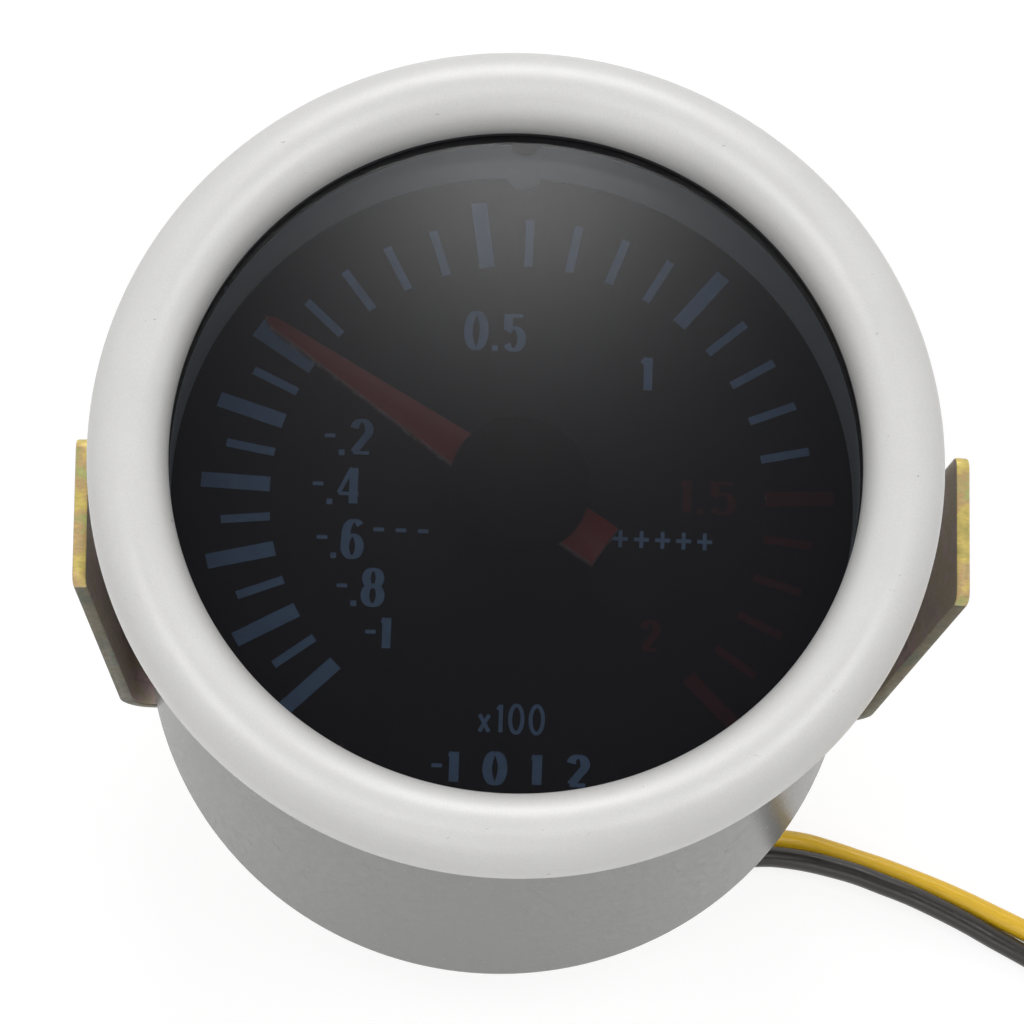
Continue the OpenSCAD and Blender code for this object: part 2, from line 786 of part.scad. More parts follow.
// Lamp
module lamp_holder() {
    z_flange = z_case - seal_t - holder_flange_t;
    z_top = z_floor + holder_in_l;
    color("ivory") translate([lamp_p[0], lamp_p[1], 0]) difference() {
        union() {
            tube(0, skirt_r - grip_r, 0, z_flange + holder_flange_t);
            for (i = [0 : grips - 1]) rotate([0, 0, i * 360 / grips])
                rod([skirt_r - grip_r, 0], grip_r + grip_out, 0, z_flange);
            tube(0, holder_flange_r, z_flange, z_flange + holder_flange_t);
            tube(0, holder_r, z_flange, z_top);
        }
        rod([0, 0], skirt_bore_r, -cut, skirt_bore_l);
        rod([0, 0], bulb_r + socket_gap, z_top - socket_l, z_top + cut);
        for (s = [-1, 1]) translate([-contact_w / 2 - run_gap,
            s * (bulb_r + socket_gap + contact_t) - contact_t - run_gap, skirt_bore_l - cut])
            cube([contact_w + 2 * run_gap, 2 * contact_t + 2 * run_gap, z_top]);
        translate([0, -grommet_w / 2 - fit_gap, -cut])
            cube([2 * skirt_r, grommet_w + 2 * fit_gap, grommet_z + grommet_h + fit_gap + cut]);
    }
}

module holder_seal() {
    color("black") translate([lamp_p[0], lamp_p[1], 0])
        tube(holder_r + fit_gap, holder_flange_r, z_case - seal_t, z_case);
}

module lamp_bulb() {
    z = z_floor + holder_in_l - socket_l;
    color([0.9, 0.9, 0.95, 0.4]) translate([lamp_p[0], lamp_p[1], 0]) rotate_extrude() {
        profile(0, bulb_r, z, z + bulb_l - bulb_r);
        intersection() {
            translate([0, z + bulb_l - bulb_r]) circle(r = bulb_r);
            profile(0, bulb_r, z, z + bulb_l);
        }
    }
}

module lamp_contacts() {
    z_top = z_floor + holder_in_l;
    color("gold") for (s = [-1, 1]) translate([lamp_p[0] - contact_w / 2,
        lamp_p[1] + s * (bulb_r + socket_gap + contact_t) - contact_t / 2,
        z_top - contact_l]) cube([contact_w, contact_t, contact_l - fit_gap]);
}

module wire_grommet() {
    color([0.1, 0.1, 0.1]) translate([lamp_p[0] + skirt_r - grommet_in,
        wire_mid_y - grommet_w / 2, grommet_z]) cube([grommet_in + grommet_out, grommet_w,
        grommet_h]);
}

// A tube swept along points: each ring is square to the route, with its first side level
function along(p, i) = let (a = p[max(i - 1, 0)], b = p[min(i + 1, len(p) - 1)])
    (b - a) / norm(b - a);
function ring(c, t, r, sides) = let (u = cross([0, 0, 1], t) / norm(cross([0, 0, 1], t)),
    v = cross(t, u)) [for (k = [0 : sides - 1]) c + r * (cos((k + 0.5) * 360 / sides) * u
        + sin((k + 0.5) * 360 / sides) * v)];

module swept(p, r, sides) {
    n = len(p);
    points = [for (i = [0 : n - 1]) each ring(p[i], along(p, i), r, sides)];
    walls = [for (i = [0 : n - 2]) for (k = [0 : sides - 1])
        let (a = i * sides + k, b = i * sides + (k + 1) % sides)
        each [[a, a + sides, b], [b, a + sides, b + sides]]];
    first = [for (k = [1 : sides - 2]) [0, k, k + 1]];
    last = [for (k = [1 : sides - 2])
        [(n - 1) * sides, (n - 1) * sides + k + 1, (n - 1) * sides + k]];
    polyhedron(points = points, faces = concat(walls, first, last));
}

// A coil starts at the end of its route, runs straight for a diameter and winds inwards
function coil_centre(route) = route[len(route) - 1] + [coil_lead, coil_r, 0];
function coil_at(route, a) = coil_centre(route)
    + (coil_r - coil_pitch * a / 360) * [cos(a - 90), sin(a - 90), 0];
function coil_points(route) = concat([route[len(route) - 1]],
    [for (i = [0 : coil_turns * coil_rings]) coil_at(route, i * 360 / coil_rings)]);
function bare_points(route) = [for (i = [0 : 4])
    coil_at(route, coil_turns * 360 + bare_deg * i / 4)];
function run(p) = [for (i = [1 : len(p) - 1]) norm(p[i] - p[i - 1])];
function total(v, i = 0) = i < len(v) ? v[i] + total(v, i + 1) : 0;
function gap(a, b, apart) = min([for (i = [0 : len(a) - 1]) for (j = [0 : len(b) - 1])
    if (abs(i - j) >= apart) norm(a[i] - b[j]) - wire_d]);

module yellow_lead() {
    color("gold") swept(yellow_route, wire_r, route_sides);
}

module black_lead() {
    color([0.12, 0.11, 0.1]) swept(black_route, wire_r, route_sides);
}

module yellow_coil() {
    color("gold") swept(coil_points(yellow_route), wire_r, coil_sides);
}

module black_coil() {
    color([0.12, 0.11, 0.1]) swept(coil_points(black_route), wire_r, coil_sides);
}

module bare_ends() {
    color("silver") for (route = [yellow_route, black_route])
        swept(bare_points(route), bare_r, coil_sides);
}

// The tie is a band round both bundles where the coils lie over each other on the right
module wire_tie() {
    low = coil_centre(black_route);
    high = coil_centre(yellow_route);
    y = (low[1] + high[1]) / 2;
    x1 = low[0] + coil_r - coil_pitch * tie_to_turn - wire_r - tie_gap - tie_slack;
    x2 = low[0] + coil_r - coil_pitch * tie_from_turn + wire_r + tie_gap;
    z1 = low[2] - wire_r - tie_gap;
    z2 = high[2] + wire_r + tie_gap;
    color([0.1, 0.1, 0.1]) translate([0, y + tie_w / 2, 0]) rotate([90, 0, 0])
        linear_extrude(tie_w) difference() {
            translate([x1 - tie_t, z1 - tie_t]) square([x2 - x1 + 2 * tie_t,
                z2 - z1 + 2 * tie_t]);
            translate([x1, z1]) square([x2 - x1, z2 - z1]);
        }
}

echo(lead = total(run(yellow_route)), coil = total(run(coil_points(yellow_route))));
echo(turn_gap = gap(coil_points(yellow_route), coil_points(yellow_route), coil_rings / 2));
echo(coil_gap = gap(coil_points(yellow_route), coil_points(black_route), 0));
echo(lead_gap = gap(yellow_route, black_route, 0));

case_can();
bezel();
lens();
lens_gasket();
light_ring();
dial_plate();
inner_housing();
pressure_socket();
stem_washer();
stem_nut();
bourdon_tube();
lower_plate();
upper_plate();
pillars();
plate_screws();
sector_gear();
sector_arbor();
link_rivet();
link();
spindle();
pinion();
spring_collet();
hairspring();
hairspring_stud();
pointer();
pointer_cap();
studs();
bracket();
lock_washers();
nut_left();
nut_right();
lamp_holder();
holder_seal();
lamp_bulb();
lamp_contacts();
wire_grommet();
yellow_lead();
yellow_coil();
black_lead();
black_coil();
bare_ends();
wire_tie();
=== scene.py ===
import math

import bmesh
import bpy
from mathutils import Matrix, Vector


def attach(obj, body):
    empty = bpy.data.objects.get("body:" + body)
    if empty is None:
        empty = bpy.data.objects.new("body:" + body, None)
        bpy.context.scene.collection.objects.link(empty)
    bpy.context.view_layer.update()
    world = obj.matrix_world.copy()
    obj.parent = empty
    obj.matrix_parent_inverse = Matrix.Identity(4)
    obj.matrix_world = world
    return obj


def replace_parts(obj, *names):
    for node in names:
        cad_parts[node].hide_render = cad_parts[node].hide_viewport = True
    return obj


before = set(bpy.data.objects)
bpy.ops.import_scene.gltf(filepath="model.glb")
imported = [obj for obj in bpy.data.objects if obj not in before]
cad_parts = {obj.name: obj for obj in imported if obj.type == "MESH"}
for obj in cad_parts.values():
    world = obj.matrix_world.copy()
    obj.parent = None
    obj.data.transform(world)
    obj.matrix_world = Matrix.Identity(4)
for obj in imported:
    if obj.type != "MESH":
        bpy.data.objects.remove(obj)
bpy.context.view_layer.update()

# Lengths below are millimetres in the row frame, unless a name says otherwise
MM = 0.001
TAU = 2 * math.pi


def mm(*point):
    return Vector(point) * MM


# Camera: solved from the photograph's ellipses
CAMERA_AT = mm(-12.303, -185.381, 650.24)
CAMERA_AIM = mm(-0.179, -3.864, 59.4)
CAMERA_ROLL = math.radians(5.989)
CAMERA_LENS = 311.66
CAMERA_SENSOR = 36
CAMERA_CLIP = (0.05, 10)


def make_camera():
    data = bpy.data.cameras.new("camera")
    data.lens, data.sensor_width = CAMERA_LENS, CAMERA_SENSOR
    data.clip_start, data.clip_end = CAMERA_CLIP
    camera = bpy.data.objects.new("camera", data)
    bpy.context.scene.collection.objects.link(camera)
    camera.location = CAMERA_AT
    camera.rotation_mode = "QUATERNION"
    level = (CAMERA_AIM - CAMERA_AT).to_track_quat("-Z", "Y")
    camera.rotation_quaternion = level @ Matrix.Rotation(CAMERA_ROLL, 3, "Z").to_quaternion()
    bpy.context.scene.camera = camera


make_camera()


# Mesh helpers
def piece(name, verts, faces, material, body="gauge", smooth=True, angle=30):
    mesh = bpy.data.meshes.new(name)
    mesh.from_pydata([tuple(v) for v in verts], [], faces)
    mesh.validate()
    return finish_piece(name, mesh, material, body, smooth, angle)


def finish_piece(name, mesh, material, body="gauge", smooth=True, angle=30):
    mesh.materials.clear()
    mesh.materials.append(material)
    if smooth:
        mesh.shade_smooth()
        mesh.set_sharp_from_angle(angle=math.radians(angle))
    obj = bpy.data.objects.new(name, mesh)
    bpy.context.scene.collection.objects.link(obj)
    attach(obj, body)
    return obj


def catmull(points, steps):
    """Points along a smooth curve through these points, steps for each stretch."""
    p = [points[0] * 2 - points[1], *points, points[-1] * 2 - points[-2]]
    out = []
    for i in range(1, len(p) - 2):
        for k in range(steps):
            t = k / steps
            a, b, c, d = p[i - 1:i + 3]
            out.append(0.5 * (2 * b + (c - a) * t + (2 * a - 5 * b + 4 * c - d) * t * t
                              + (3 * b - a - 3 * c + d) * t ** 3))
    return out + [points[-1]]


def tube_mesh(path, radius, sides):
    """A tube round a path, its rings square to it and not twisting on themselves."""
    verts, faces = [], []
    up = Vector((0, 0, 1))
    for i, at in enumerate(path):
        along = (path[min(i + 1, len(path) - 1)] - path[max(i - 1, 0)]).normalized()
        side = along.cross(up).normalized()
        up = side.cross(along)
        verts += [at + radius * (math.cos(TAU * k / sides) * side + math.sin(TAU * k / sides) * up)
                  for k in range(sides)]
    for i in range(len(path) - 1):
        for k in range(sides):
            a, b = i * sides + k, i * sides + (k + 1) % sides
            faces.append((a, b, b + sides, a + sides))
    faces.append(tuple(reversed(range(sides))))
    faces.append(tuple(range((len(path) - 1) * sides, len(path) * sides)))
    return verts, faces


# Materials
SOCKETS = {"metal": "Metallic", "rough": "Roughness", "alpha": "Alpha",
           "specular": "Specular IOR Level", "coat": "Coat Weight", "coat_rough": "Coat Roughness",
           "subsurface": "Subsurface Weight"}


class Shader:
    """A principled material with a few layers of procedural detail, in object coordinates."""

    def __init__(self, name, **values):
        self.material = bpy.data.materials.new(name)
        self.material.use_nodes = True
        self.tree = self.material.node_tree
        self.main = self.tree.nodes["Principled BSDF"]
        for key, value in values.items():
            self.main.inputs[SOCKETS[key]].default_value = value
        self.place = self.add("ShaderNodeTexCoord").outputs["Object"]

    def add(self, kind, **settings):
        node = self.tree.nodes.new(kind)
        for key, value in settings.items():
            setattr(node, key, value)
        return node

    def join(self, out, into):
        self.tree.links.new(out, into)

    def stretched(self, scale):
        node = self.add("ShaderNodeMapping")
        node.inputs["Scale"].default_value = scale
        self.join(self.place, node.inputs["Vector"])
        return node.outputs["Vector"]

    def noise(self, per_mm, detail=3, rough=0.55, stretch=None):
        node = self.add("ShaderNodeTexNoise")
        node.inputs["Scale"].default_value = per_mm / MM
        node.inputs["Detail"].default_value = detail
        node.inputs["Roughness"].default_value = rough
        self.join(self.stretched(stretch) if stretch else self.place, node.inputs["Vector"])
        return node.outputs["Fac"]

    def ramp(self, value, *stops):
        """Stops are (position, colour or grey)."""
        node = self.add("ShaderNodeValToRGB")
        while len(node.color_ramp.elements) < len(stops):
            node.color_ramp.elements.new(0.5)
        for element, (at, colour) in zip(node.color_ramp.elements, stops):
            element.position = at
            grey = colour if hasattr(colour, "__len__") else (colour,) * 3
            element.color = (*grey, 1)
        self.join(value, node.inputs["Fac"])
        return node.outputs["Color"]

    def mix(self, fac, a, b, kind="MIX"):
        node = self.add("ShaderNodeMix", data_type="RGBA", blend_type=kind)
        for value, socket in ((fac, node.inputs[0]), (a, node.inputs[6]), (b, node.inputs[7])):
            if isinstance(value, bpy.types.NodeSocket):
                self.join(value, socket)
            elif hasattr(value, "__len__"):
                socket.default_value = (*value, 1)
            else:
                socket.default_value = value
        return node.outputs[2]

    def colour(self, value):
        self.join(value, self.main.inputs["Base Color"])

    def roughness(self, value):
        self.join(value, self.main.inputs["Roughness"])

    def bump(self, *layers):
        """Layers are (height, how many millimetres high it stands)."""
        normal = None
        for height, depth in layers:
            node = self.add("ShaderNodeBump")
            node.inputs["Strength"].default_value = 1
            node.inputs["Distance"].default_value = depth * MM
            self.join(height, node.inputs["Height"])
            if normal:
                self.join(normal, node.inputs["Normal"])
            normal = node.outputs["Normal"]
        self.join(normal, self.main.inputs["Normal"])


def varied(shader, colour, per_mm, spread):
    """The colour, a little lighter and darker from place to place."""
    low = [c * (1 - spread) for c in colour]
    high = [min(c * (1 + spread), 1) for c in colour]
    return shader.ramp(shader.noise(per_mm, 4), (0.3, low), (0.7, high))


def simple(name, colour, rough, metal=0.0, per_mm=0.4, spread=0.06, grain=8, grain_depth=0.004,
           **more):
    """A plain finish: its colour drifts, and its grain breaks the highlights up."""
    s = Shader(name, metal=metal, **more)
    s.colour(varied(s, colour, per_mm, spread))
    s.roughness(s.ramp(s.noise(grain * 0.3, 4), (0.3, rough * 0.85), (0.7, min(rough * 1.2, 1))))
    s.bump((s.noise(grain, 2), grain_depth))
    return s.material


# Wires: the routes repeat part.scad's, and so do their coils
WIRE_D = 1.6
WIRE_SIDES = 24
WIRE_STEPS = 4
WIRE_EXIT = (15, -12)
YELLOW_WAY = [
    (0, 0.8, 2), (2, 0.8, 2), (4, 0.9, 1.5), (6.5, 1, 1), (9, 0.8, 0.8), (11, 0.3, 0.8),
    (13, -0.3, 0.8), (15, -0.9, 0.8), (17, -1.6, 0.8), (19.2, -2.4, 0.8), (21.4, -3.3, 0.8),
    (23.6, -4.3, 0.8), (25.8, -5.3, 0.8), (28, -6.4, 0.9), (30.4, -7.5, 1.3),
    (33, -8.4, 2), (36, -9, 2.7), (39, -9.2, 3), (41, -9.2, 3)]
BLACK_WAY = [
    (0, -0.9, 2), (2, -0.9, 2), (4, -0.8, 1.9), (6.5, -0.6, 1.8), (9, -0.8, 1.7),
    (11, -1.2, 1.75), (13, -1.7, 1.75), (15, -2.4, 1.75), (17, -3.1, 1.7), (19.2, -4, 1.5),
    (21.4, -5, 1.3), (23.6, -6.1, 1), (25.8, -7.2, 0.85), (28, -8.4, 0.9), (30.4, -9.5, 1),
    (33, -10.4, 1.15), (36, -10.85, 1.3), (39, -10.9, 1.3), (41, -10.9, 1.3)]
COIL_R = 12
COIL_PITCH = 2.15
COIL_TURNS = 2.6
COIL_RINGS = 48
COIL_LEAD = 1.6
BARE_DEG = 36
BARE_RINGS = 12
STRAND_R = 0.15
STRANDS_ROUND = 6
STRAND_TWIST = 0.5


def coil_at(end, degrees):
    centre = end + Vector((COIL_LEAD, COIL_R, 0))
    r = COIL_R - COIL_PITCH * degrees / 360
    a = math.radians(degrees - 90)
    return centre + r * Vector((math.cos(a), math.sin(a), 0))


def wire_path(way):
    route = [Vector((WIRE_EXIT[0] + x, WIRE_EXIT[1] + y, z)) for x, y, z in way]
    turns = [coil_at(route[-1], 360 * i / COIL_RINGS)
             for i in range(int(COIL_TURNS * COIL_RINGS) + 1)]
    path = catmull(route, WIRE_STEPS) + [(route[-1] + turns[0]) / 2] + turns
    bare = [coil_at(route[-1], COIL_TURNS * 360 + BARE_DEG * i / BARE_RINGS)
            for i in range(BARE_RINGS + 1)]
    return [p * MM for p in path], [p * MM for p in bare]


def vinyl(name, colour, spread):
    s = Shader(name, specular=0.5, coat=0.15, coat_rough=0.3)
    s.colour(varied(s, colour, 0.25, spread))
    s.roughness(s.ramp(s.noise(1.5, 4), (0.3, 0.28), (0.7, 0.42)))
    s.bump((s.noise(0.35, 3), 0.05), (s.noise(6, 2), 0.004))
    return s.material


def strands(name, path, material):
    """A twisted bundle of tinned strands: one in the middle and six round it."""
    verts, faces = [], []
    strand_r = STRAND_R * MM
    for k in range(STRANDS_ROUND + 1):
        line = []
        up = Vector((0, 0, 1))
        for i, at in enumerate(path):
            along = (path[min(i + 1, len(path) - 1)] - path[max(i - 1, 0)]).normalized()
            side = along.cross(up).normalized()
            a = TAU * (k / STRANDS_ROUND + STRAND_TWIST * i / len(path))
            out = 0 if k == STRANDS_ROUND else 2 * strand_r
            line.append(at + out * (math.cos(a) * side + math.sin(a) * up))
        v, f = tube_mesh(line, strand_r, 8)
        faces += [tuple(x + len(verts) for x in face) for face in f]
        verts += v
    return piece(name, verts, faces, material)


def make_wires():
    tin = simple("tinned_copper", (0.62, 0.6, 0.56), 0.3, metal=1, grain=20)
    looks = {"yellow": vinyl("yellow_wire", (0.9, 0.56, 0.02), 0.05),
             "black": vinyl("black_wire", (0.018, 0.015, 0.013), 0.15)}
    ends = []
    for name, way in (("yellow", YELLOW_WAY), ("black", BLACK_WAY)):
        path, bare = wire_path(way)
        end = strands(f"{name}_strands", bare, tin)
        ends.append(end)
        verts, faces = tube_mesh(path, WIRE_D / 2 * MM, WIRE_SIDES)
        wire = piece(f"{name}_wire", verts, faces, looks[name], angle=60)
        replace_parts(wire, f"{name}_lead", f"{name}_coil")
    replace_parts(ends[0], "bare_ends")


make_wires()


# Pieces made from the CAD's own meshes, and by turning, rounding and cutting
WELD_M = 1e-7
AXIS_WELD_M = 1e-8
FLAT_DEG = 0.3
HOLE_SIDES = 64


def dress(node, material, body="gauge", bevel=0.08, angle=35, segments=2):
    """A CAD node for the picture: welded, with its edges rounded, in the node's own place."""
    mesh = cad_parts[node].data.copy()
    bm = bmesh.new()
    bm.from_mesh(mesh)
    bmesh.ops.remove_doubles(bm, verts=bm.verts, dist=WELD_M)
    bmesh.ops.dissolve_limit(bm, angle_limit=math.radians(FLAT_DEG), verts=bm.verts,
                             edges=bm.edges)
    if bevel:
        sharp = [e for e in bm.edges if len(e.link_faces) == 2
                 and e.calc_face_angle(0) > math.radians(angle)]
        bmesh.ops.bevel(bm, geom=sharp, offset=bevel * MM, segments=segments, profile=0.5,
                        affect="EDGES", clamp_overlap=True)
    bm.to_mesh(mesh)
    bm.free()
    for name in list(mesh.attributes.keys()):
        if name in ("custom_normal", "UVMap"):
            mesh.attributes.remove(mesh.attributes[name])
    obj = finish_piece(f"{node}_piece", mesh, material, body, angle=angle)
    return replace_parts(obj, node)


def lathe(name, profile, material, replaces=(), body="gauge", segments=240, angle=30,
          centre=(0, 0)):
    """A surface of revolution about a vertical axis; the profile is (radius, height), closed."""
    n = len(profile)
    verts = [mm(centre[0] + r * math.cos(TAU * i / segments),
                centre[1] + r * math.sin(TAU * i / segments), z)
             for i in range(segments) for r, z in profile]
    faces = []
    for i in range(segments):
        a, b = i * n, (i + 1) % segments * n
        faces += [(a + k, b + k, b + (k + 1) % n, a + (k + 1) % n) for k in range(n)]
    obj = piece(name, verts, faces, material, body, angle=angle)
    clean(obj)
    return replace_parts(obj, *replaces) if replaces else obj


def clean(obj):
    """Joins the points on a lathe's axis, and turns every face outwards."""
    bm = bmesh.new()
    bm.from_mesh(obj.data)
    bmesh.ops.remove_doubles(bm, verts=bm.verts, dist=AXIS_WELD_M)
    bmesh.ops.recalc_face_normals(bm, faces=bm.faces)
    bm.to_mesh(obj.data)
    bm.free()


def corner(x, y, r, start, steps=6, turn=90):
    """An arc's points round (x, y) from a starting angle, in degrees."""
    return [(x + r * math.cos(math.radians(start + turn * i / steps)),
             y + r * math.sin(math.radians(start + turn * i / steps))) for i in range(steps + 1)]


# Heights and radii of the case and the bezel, in step with part.scad
CASE_R = 26
WALL = 0.8
Z_CASE = 14
Z_WIDE = 59.4
CASE_EDGE_R = 1.5
FLANGE_R = 29.1
FLANGE_TOP = 59.3
FLANGE_T = 0.7
FLANGE_ROOT_R = 0.3
BEZEL_R = 30
NOSE_R = 2.85
SKIRT_BOTTOM = 58.0
SKIRT_EDGE_R = 0.4
SKIRT_GAP = 0.1
ROLL_T = 0.6
ROLL_EDGE_R = 0.3
WINDOW_R = 24.3
Z_LIP = 58.8
LIP_ROUND = 0.15
Z_DIAL = 49.4
DIAL_T = 0.8
MOVEMENT_X = 0.4
STUD_X = 12
STUD_HOLE_R = 2.05
STEM_AT = (MOVEMENT_X, 13)
STEM_HOLE_R = 4.05
LAMP_AT = (8.5, -12)
LAMP_HOLE_R = 5.05
CUT_OVER = 1


def bezel_paint():
    s = Shader("bezel_paint", metal=0.1, specular=0.5)
    base = varied(s, (0.75, 0.745, 0.73), 0.12, 0.02)
    speckle = s.ramp(s.noise(9, 2, 0.8), (0.35, 0.93), (0.65, 1.0))
    painted = s.mix(1.0, base, speckle, "MULTIPLY")
    scuffs = s.ramp(s.noise(0.55, 5, 0.7, (1, 3, 1)), (0.685, 0.0), (0.72, 1.0))
    s.colour(s.mix(scuffs, painted, (0.36, 0.35, 0.34)))
    s.roughness(s.ramp(s.noise(4, 4), (0.3, 0.38), (0.7, 0.46)))
    s.bump((s.noise(0.7, 3), 0.02), (s.noise(7, 3, 0.7), 0.006))
    return s.material


def case_paint():
    s = Shader("case_paint", specular=0.03)
    base = varied(s, (0.27, 0.27, 0.261), 0.06, 0.02)
    speckle = s.ramp(s.noise(7, 2, 0.8), (0.35, 0.95), (0.65, 1.0))
    s.colour(s.mix(1.0, base, speckle, "MULTIPLY"))
    s.roughness(s.ramp(s.noise(2, 4), (0.3, 0.2), (0.7, 0.28)))
    s.bump((s.noise(0.25, 2, 0.5, (1, 1, 0.15)), 0.02), (s.noise(3, 2, 0.5), 0.0006))
    return s.material


def make_shell():
    paint = case_paint()
    can = lathe("case_shell", [
        (0, Z_CASE), *corner(CASE_R - CASE_EDGE_R, Z_CASE + CASE_EDGE_R, CASE_EDGE_R, -90, 10),
        (CASE_R, FLANGE_TOP - FLANGE_T - FLANGE_ROOT_R),
        *reversed(corner(CASE_R + FLANGE_ROOT_R, FLANGE_TOP - FLANGE_T - FLANGE_ROOT_R,
                         FLANGE_ROOT_R, 90, 4)),
        (FLANGE_R, FLANGE_TOP - FLANGE_T), (FLANGE_R, FLANGE_TOP),
        (CASE_R - WALL, FLANGE_TOP), (CASE_R - WALL, Z_CASE + WALL), (0, Z_CASE + WALL)],
        paint)
    holes = [((STUD_X, 0), STUD_HOLE_R), ((-STUD_X, 0), STUD_HOLE_R), (STEM_AT, STEM_HOLE_R),
             (LAMP_AT, LAMP_HOLE_R)]
    cut_holes(can, holes, Z_CASE - CUT_OVER, Z_CASE + WALL + CUT_OVER)
    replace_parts(can, "case_can")
    nose = [(BEZEL_R - NOSE_R + NOSE_R * math.cos(math.radians(a)),
             Z_WIDE + NOSE_R * math.sin(math.radians(a))) for a in range(0, 181, 6)]
    inner = [(BEZEL_R - NOSE_R + (NOSE_R - WALL) * math.cos(math.radians(a)),
              Z_WIDE + (NOSE_R - WALL) * math.sin(math.radians(a))) for a in range(180, -1, -12)]
    lathe("bezel_ring", [
        *corner(BEZEL_R - SKIRT_EDGE_R, SKIRT_BOTTOM + SKIRT_EDGE_R, SKIRT_EDGE_R, -90, 4),
        *nose, *corner(WINDOW_R + LIP_ROUND, Z_LIP + LIP_ROUND, LIP_ROUND, 180, 3, 90),
        (WINDOW_R + WALL, Z_LIP), *inner,
        (BEZEL_R - WALL, SKIRT_BOTTOM + ROLL_T), (CASE_R + SKIRT_GAP, SKIRT_BOTTOM + ROLL_T),
        *corner(CASE_R + SKIRT_GAP + ROLL_EDGE_R, SKIRT_BOTTOM + ROLL_EDGE_R, ROLL_EDGE_R,
                180, 3, 90)],
        bezel_paint(), ["bezel"], segments=288)


def cut_holes(obj, holes, z1, z2):
    """Cuts round holes through a piece."""
    cutters = []
    for (x, y), r in holes:
        bm = bmesh.new()
        bmesh.ops.create_cone(bm, cap_ends=True, segments=HOLE_SIDES, radius1=r * MM,
                              radius2=r * MM, depth=(z2 - z1) * MM,
                              matrix=Matrix.Translation(mm(x, y, (z1 + z2) / 2)))
        mesh = bpy.data.meshes.new("cutter")
        bm.to_mesh(mesh)
        bm.free()
        cutter = bpy.data.objects.new("cutter", mesh)
        bpy.context.scene.collection.objects.link(cutter)
        modifier = obj.modifiers.new("cut", "BOOLEAN")
        modifier.operation, modifier.solver, modifier.object = "DIFFERENCE", "EXACT", cutter
        cutters.append(cutter)
    graph = bpy.context.evaluated_depsgraph_get()
    mesh = bpy.data.meshes.new_from_object(obj.evaluated_get(graph))
    obj.modifiers.clear()
    obj.data = mesh
    mesh.shade_smooth()
    mesh.set_sharp_from_angle(angle=math.radians(30))
    for cutter in cutters:
        bpy.data.objects.remove(cutter)


make_shell()


# Lens, light ring and gasket
LENS_R = 25
LENS_BOTTOM = 56.6
LENS_TOP = 58.4
RING_IN = 24.2
RING_EDGE_R = 0.1
RIB_R = 1.15
RIB_AT = (0, 24.6)
FACES_UP = 0.9


def smoked_glass():
    s = Shader("smoked_glass", rough=0.13, alpha=0.48, specular=0.5)
    dust = s.ramp(s.noise(2.6, 1, 0.5), (0.80, 0.0), (0.83, 1.0))
    s.colour(s.mix(dust, (0.004, 0.004, 0.006), (0.1, 0.1, 0.12)))
    return s.material


def make_window():
    lathe("lens_disc", [(0, LENS_BOTTOM), (LENS_R, LENS_BOTTOM), (LENS_R, LENS_TOP), (0, LENS_TOP)],
          smoked_glass(), ["lens"])
    dress("lens_gasket", simple("black_rubber", (0.012, 0.012, 0.013), 0.6), bevel=0.03)
    diffuser = simple("diffuser", (0.78, 0.88, 1.0), 0.45, grain=3)
    obj = lathe("diffuser_ring", [
        (RING_IN + RING_EDGE_R, Z_DIAL), (LENS_R, Z_DIAL), (LENS_R, LENS_BOTTOM),
        (RING_IN + RING_EDGE_R, LENS_BOTTOM),
        *corner(RING_IN + RING_EDGE_R, LENS_BOTTOM - RING_EDGE_R, RING_EDGE_R, 90, 3),
        (RING_IN, Z_DIAL + RING_EDGE_R)], diffuser, ["light_ring"])
    obj.data.materials.append(bpy.data.materials["black_rubber"])
    half = corner(*RIB_AT, RIB_R, 180, 16, 180)
    n = len(half)
    rib = piece("diffuser_rib", [mm(x, y, z) for z in (Z_DIAL - DIAL_T, LENS_BOTTOM) for x, y in half],
                [(i, i + 1, i + 1 + n, i + n) for i in range(n - 1)]
                + [(n - 1, 0, n, 2 * n - 1), tuple(reversed(range(n))), tuple(range(n, 2 * n))],
                diffuser)
    rib.data.materials.append(bpy.data.materials["black_rubber"])
    # The ring's and the rib's upward faces, under the lens, are made black: a dark band round the
    # window's edge.
    for data in (obj.data, rib.data):
        for face in data.polygons:
            if face.normal.z > FACES_UP:
                face.material_index = 1
    dial = Shader("dial_print", specular=0.3)
    dial.colour(varied(dial, (0.012, 0.012, 0.016), 0.3, 0.25))
    dial.roughness(dial.ramp(dial.noise(3, 4), (0.3, 0.5), (0.7, 0.65)))
    dial.bump((dial.noise(10, 2), 0.003))
    dress("dial_plate", dial.material, bevel=0.05)


make_window()


# Dial print: marks by angle, numbers by strokes of a broad pen
MARK_IN = 17.6
MARK_LONG = 22.5
MARK_SHORT = 21.1
MARK_W = 0.6
MARK_MAJOR_W = 1.1
MARK_ZERO_W = 1.6
MAJOR_TENTHS = (-10, -8, -6, -4, -2, 0, 5, 10, 15, 20)
RED_FROM_TENTH = 15
ZERO_DEG = 147
VACUUM_DEG = 78
PRESSURE_DEG = 96
PRINT_T = 0.02
LAYER_T = 0.003
NUMBER_PEN = (0.31, 0.13)
NUMBER_GAP = 0.16
SIGN_PEN = (0.14, 0.14)
SIGN_GAP = 0.25
RANGE_PEN = (0.34, 0.15)
RANGE_GAP = 0.2


def mark_angle(bar):
    """The scale's angle: a bar of vacuum takes 78 degrees, and a bar of pressure 96."""
    return ZERO_DEG - bar * (VACUUM_DEG if bar < 0 else PRESSURE_DEG)


